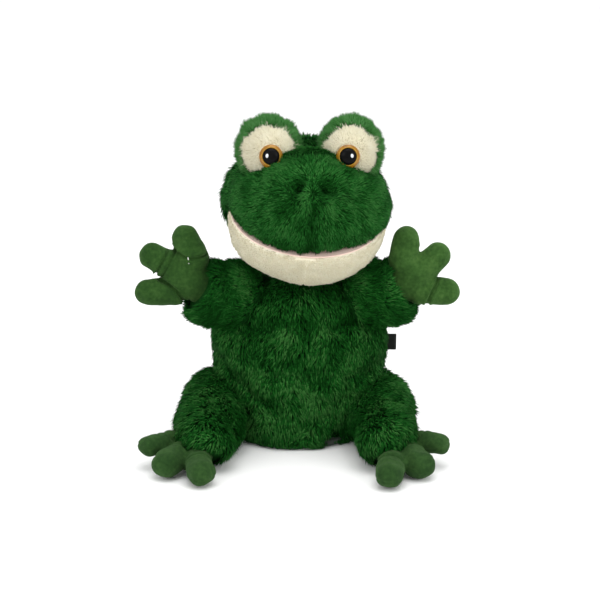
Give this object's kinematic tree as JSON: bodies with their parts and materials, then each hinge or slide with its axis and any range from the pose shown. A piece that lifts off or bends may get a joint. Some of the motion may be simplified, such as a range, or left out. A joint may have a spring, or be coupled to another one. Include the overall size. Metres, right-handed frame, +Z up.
{
  "type": "hand puppet",
  "caption": "Seated plush frog hand puppet with a moving mouth, finger and thumb pockets, plastic eyes, stuffed arms and legs and velour hands and feet.",
  "frame": {"origin": "on the surface the puppet sits on, under the middle of its bounding box", "axes": "+Z up; the puppet faces -Y; +X is the puppet's own left, on the right of someone who looks at its face"},
  "size_m": [0.2402, 0.1722, 0.2415],
  "materials": {
    "green_plush": "long combed pile",
    "green_velour": "short velour pile",
    "cream_plush": "short fluffy pile",
    "pink_lining": "smooth woven lining",
    "satin_lining": "smooth satin",
    "hem_tape": "woven tape",
    "black_ribbon": "satin ribbon, blank",
    "filling": "polyester fibre filling",
    "thread": "twisted thread",
    "amber_plastic": "glossy",
    "black_plastic": "glossy",
    "washer_plastic": "plain moulded"
  },
  "bodies": {
    "torso": {"torso_front_panel": "green_plush", "torso_back_panel": "green_plush", "sleeve_lining": "satin_lining", "hem_binding": "hem_tape"},
    "label": {"side_label": "black_ribbon"},
    "neck": {"neck_tube": "green_plush"},
    "head": {"snout_panel": "green_plush", "head_back_panel": "green_plush", "palate_lining": "pink_lining", "finger_pocket": "satin_lining", "head_stuffing": "filling", "nostril_stitch_left": "thread", "nostril_stitch_right": "thread", "eye_hood_left": "green_plush", "eye_white_left": "cream_plush", "eye_stuffing_left": "filling", "eye_washer_left": "washer_plastic", "iris_left": "amber_plastic", "pupil_left": "black_plastic", "eye_hood_right": "green_plush", "eye_white_right": "cream_plush", "eye_stuffing_right": "filling", "eye_washer_right": "washer_plastic", "iris_right": "amber_plastic", "pupil_right": "black_plastic"},
    "jaw": {"jaw_panel": "cream_plush", "mouth_floor_lining": "pink_lining", "thumb_pocket": "satin_lining", "jaw_stuffing": "filling"},
    "arm_left": {"arm_sleeve_left": "green_plush", "arm_stuffing_left": "filling"},
    "hand_left": {"hand_palm_panel_left": "green_velour", "hand_back_panel_left": "green_velour", "hand_stuffing_left": "filling"},
    "leg_left": {"leg_cover_left": "green_plush", "leg_stuffing_left": "filling"},
    "foot_left": {"foot_sole_panel_left": "green_velour", "foot_top_panel_left": "green_velour", "foot_stuffing_left": "filling"},
    "arm_right": {"arm_sleeve_right": "green_plush", "arm_stuffing_right": "filling"},
    "hand_right": {"hand_palm_panel_right": "green_velour", "hand_back_panel_right": "green_velour", "hand_stuffing_right": "filling"},
    "leg_right": {"leg_cover_right": "green_plush", "leg_stuffing_right": "filling"},
    "foot_right": {"foot_sole_panel_right": "green_velour", "foot_top_panel_right": "green_velour", "foot_stuffing_right": "filling"}
  },
  "joints": [
    {"name": "neck_turn", "type": "hinge", "parent": "torso", "child": "neck", "pos_m": [0.0087, 0.05405, 0.15], "axis": [0, 0, -1], "range_deg": [-15, 15], "stiffness_Nm_per_rad": 0.6},
    {"name": "head_nod", "type": "hinge", "parent": "neck", "child": "head", "pos_m": [0.0087, 0.05405, 0.15], "axis": [-1, 0, 0], "range_deg": [-6, 16], "stiffness_Nm_per_rad": 2.5},
    {"name": "jaw_open", "type": "hinge", "parent": "head", "child": "jaw", "pos_m": [0.00857, 0.02105, 0.18103], "axis": [0.9968, 0.0174, -0.0785], "range_deg": [-1.5, 22], "stiffness_Nm_per_rad": 0.6},
    {"name": "label_flap", "type": "hinge", "parent": "torso", "child": "label", "pos_m": [0.0621, 0.05005, 0.0695], "axis": [0, 0, 1], "range_deg": [-12, 12], "stiffness_Nm_per_rad": 0.0005},
    {"name": "arm_raise_left", "type": "hinge", "parent": "torso", "child": "arm_left", "pos_m": [0.06, 0.02905, 0.107], "axis": [0, -1, 0], "range_deg": [-14, 10], "stiffness_Nm_per_rad": 0.25},
    {"name": "wrist_bend_left", "type": "hinge", "parent": "arm_left", "child": "hand_left", "pos_m": [0.06699, 0.02625, 0.11143], "axis": [0, -1, 0], "range_deg": [-8, 6], "stiffness_Nm_per_rad": 0.12},
    {"name": "hip_swing_left", "type": "hinge", "parent": "torso", "child": "leg_left", "pos_m": [0.0635, 0.03805, 0.0244], "axis": [-1, 0, 0], "range_deg": [-20, 20], "stiffness_Nm_per_rad": 0.5},
    {"name": "ankle_bend_left", "type": "hinge", "parent": "leg_left", "child": "foot_left", "pos_m": [0.065, -0.01695, 0.017], "axis": [-1, 0, 0], "range_deg": [-2, 16], "stiffness_Nm_per_rad": 0.12},
    {"name": "arm_raise_right", "type": "hinge", "parent": "torso", "child": "arm_right", "pos_m": [-0.052, 0.02905, 0.107], "axis": [0, 1, 0], "range_deg": [-14, 10], "stiffness_Nm_per_rad": 0.25},
    {"name": "wrist_bend_right", "type": "hinge", "parent": "arm_right", "child": "hand_right", "pos_m": [-0.05982, 0.02612, 0.11164], "axis": [0, 1, 0], "range_deg": [-8, 6], "stiffness_Nm_per_rad": 0.12},
    {"name": "hip_swing_right", "type": "hinge", "parent": "torso", "child": "leg_right", "pos_m": [-0.061, 0.03805, 0.0244], "axis": [-1, 0, 0], "range_deg": [-20, 20], "stiffness_Nm_per_rad": 0.5},
    {"name": "ankle_bend_right", "type": "hinge", "parent": "leg_right", "child": "foot_right", "pos_m": [-0.066, -0.01695, 0.017], "axis": [-1, 0, 0], "range_deg": [-2, 16], "stiffness_Nm_per_rad": 0.12}
  ]
}
